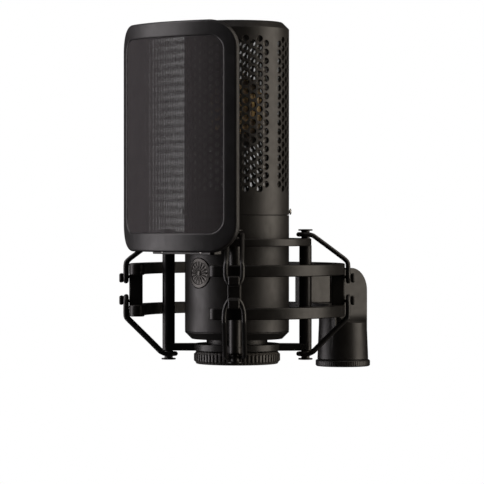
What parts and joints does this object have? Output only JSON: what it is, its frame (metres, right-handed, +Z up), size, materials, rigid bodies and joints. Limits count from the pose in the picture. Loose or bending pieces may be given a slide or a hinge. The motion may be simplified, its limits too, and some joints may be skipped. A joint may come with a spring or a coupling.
{
  "type": "condenser microphone",
  "caption": "Side-address studio condenser microphone in an elastic shock mount with a tilting stand socket and a curved clip-on pop filter.",
  "frame": {"origin": "centre of the stand socket's mouth, on its bottom face", "axes": "+Z up along the stand and the microphone, -Y the way the microphone faces, +X to the right of someone looking at its front"},
  "size_m": [0.116, 0.1513, 0.1875],
  "materials": {
    "housing": "satin",
    "mount": "satin",
    "socket": "satin",
    "filter_frame": "satin",
    "filter_mesh": "matte",
    "grille_mesh": "matte",
    "elastic": "braided",
    "rubber": "matte",
    "steel": "bright",
    "brass": "machined",
    "gold_film": "polished",
    "board": "solder mask",
    "insulator": "moulded"
  },
  "bodies": {
    "socket": {"swivel_socket": "socket", "thread_insert": "brass"},
    "thread_collar": {"thread_collar": "mount"},
    "lock_knob": {"lock_knob": "mount", "pivot_bolt": "steel", "lock_washer": "steel"},
    "outer_frame": {"upper_ring": "mount", "lower_ring": "mount", "frame_knuckle": "mount", "corner_post_front_left": "mount", "corner_post_front_right": "mount", "corner_post_rear_left": "mount", "corner_post_rear_right": "mount", "elastic_upper_front_left": "elastic", "elastic_upper_front_right": "elastic", "elastic_upper_rear_left": "elastic", "elastic_upper_rear_right": "elastic", "elastic_lower_front_left": "elastic", "elastic_lower_front_right": "elastic", "elastic_lower_rear_left": "elastic", "elastic_lower_rear_right": "elastic"},
    "cradle": {"cradle_ring": "mount", "cradle_base": "mount", "filter_dock": "filter_frame", "dock_magnet_left": "steel", "dock_magnet_right": "steel", "cradle_post_front_left": "mount", "cradle_post_front_right": "mount", "cradle_post_rear_left": "mount", "cradle_post_rear_right": "mount"},
    "microphone": {"grille_shell": "housing", "grille_liner": "grille_mesh", "head_floor": "insulator", "body_sleeve": "housing", "badge": "housing", "end_cap": "housing", "connector_insert": "insulator", "circuit_board": "board", "chassis_rail_left": "brass", "chassis_rail_right": "brass", "capsule_backplate": "brass", "front_diaphragm": "gold_film", "rear_diaphragm": "gold_film", "capsule_front_ring": "brass", "capsule_rear_ring": "brass", "capsule_isolator": "rubber", "capsule_saddle": "insulator", "grille_screw_1": "steel", "grille_screw_2": "steel", "grille_screw_3": "steel", "grille_screw_4": "steel", "connector_pin_1": "steel", "connector_pin_2": "steel", "connector_pin_3": "steel"},
    "retaining_ring": {"retaining_ring": "housing"},
    "pop_filter": {"filter_front_frame": "filter_frame", "filter_front_mesh": "filter_mesh", "filter_rear_frame": "filter_frame", "filter_rear_mesh": "filter_mesh", "filter_bracket": "filter_frame"}
  },
  "joints": [
    {"name": "mount_tilt", "type": "hinge", "parent": "socket", "child": "outer_frame", "pos_m": [0, 0, 0.042], "axis": [1, 0, 0], "range_deg": [-90, 20]},
    {"name": "lock_knob_turn", "type": "hinge", "parent": "socket", "child": "lock_knob", "pos_m": [0, 0, 0.042], "axis": [1, 0, 0], "continuous": true},
    {"name": "thread_collar_turn", "type": "hinge", "parent": "socket", "child": "thread_collar", "pos_m": [0, 0, 0.0018], "axis": [0, 0, 1], "continuous": true},
    {"name": "suspension", "type": "slide", "parent": "outer_frame", "child": "cradle", "axis": [0, 0, 1], "range_m": [-0.004, 0.004], "stiffness_N_per_m": 3000, "springref_m": 0.002, "deforming": ["elastic_upper_front_left", "elastic_upper_front_right", "elastic_upper_rear_left", "elastic_upper_rear_right", "elastic_lower_front_left", "elastic_lower_front_right", "elastic_lower_rear_left", "elastic_lower_rear_right"]},
    {"name": "microphone_turn", "type": "hinge", "parent": "cradle", "child": "microphone", "pos_m": [0, -0.0815, 0.0084], "axis": [0, 0, 1], "continuous": true},
    {"name": "retaining_ring_turn", "type": "hinge", "parent": "microphone", "child": "retaining_ring", "pos_m": [0, -0.0815, 0.0084], "axis": [0, 0, 1], "continuous": true},
    {"name": "filter_pull", "type": "slide", "parent": "cradle", "child": "pop_filter", "axis": [0, -1, 0], "range_m": [0, 0.04]}
  ]
}
